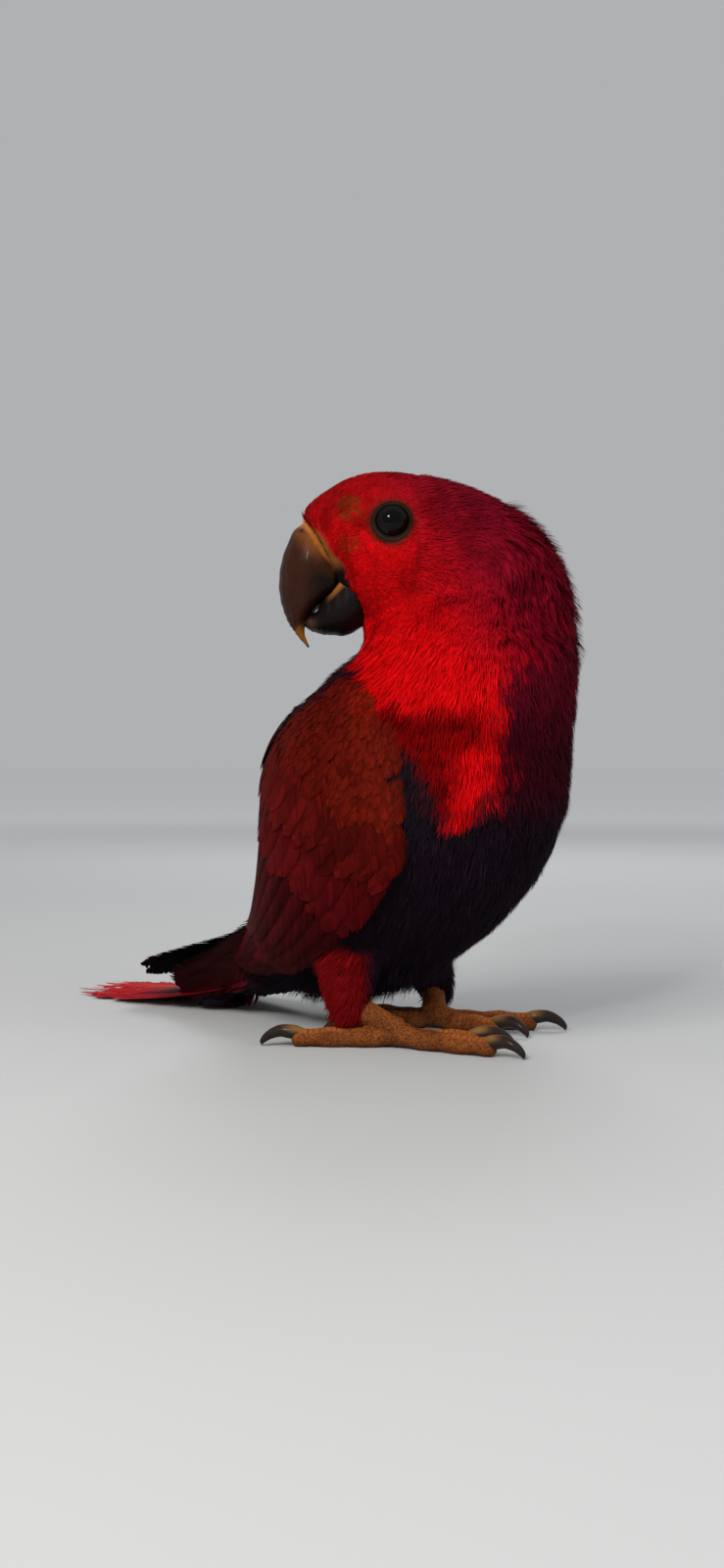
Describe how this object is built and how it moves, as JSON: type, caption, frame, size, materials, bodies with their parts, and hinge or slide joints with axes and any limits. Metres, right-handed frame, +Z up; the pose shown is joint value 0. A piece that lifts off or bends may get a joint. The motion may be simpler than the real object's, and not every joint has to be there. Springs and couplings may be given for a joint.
{
  "type": "eclectus parrot",
  "caption": "Life-size still model of a standing female eclectus parrot looking back over its right shoulder.",
  "frame": {"origin": "middle of the bounding box's base, on the floor", "axes": "+Z up, +X the way the trunk faces, away from the tail; the bird's left side is +Y"},
  "size_m": [0.2028, 0.0968, 0.1737],
  "materials": {
    "red_plumage": "soft bright red head and breast feathers",
    "violet_plumage": "dark blue-violet belly feathers",
    "maroon_plumage": "maroon wing and tail feathers",
    "bill_horn": "dark brown horn, paler at the base and tip",
    "eye": "wet dark brown eye",
    "foot_skin": "golden brown granular skin",
    "claw_horn": "dark curved claws"
  },
  "bodies": {
    "root": {"head": "red_plumage", "neck": "red_plumage", "trunk": "violet_plumage", "tail": "maroon_plumage", "wing_left": "maroon_plumage", "wing_right": "maroon_plumage", "thigh_left": "red_plumage", "thigh_right": "red_plumage", "upper_bill": "bill_horn", "lower_bill": "bill_horn", "eye_left": "eye", "eye_right": "eye", "foot_left": "foot_skin", "foot_right": "foot_skin", "claw_left_outer_front": "claw_horn", "claw_left_inner_front": "claw_horn", "claw_left_outer_hind": "claw_horn", "claw_left_inner_hind": "claw_horn", "claw_right_outer_front": "claw_horn", "claw_right_inner_front": "claw_horn", "claw_right_outer_hind": "claw_horn", "claw_right_inner_hind": "claw_horn"}
  },
  "joints": []
}
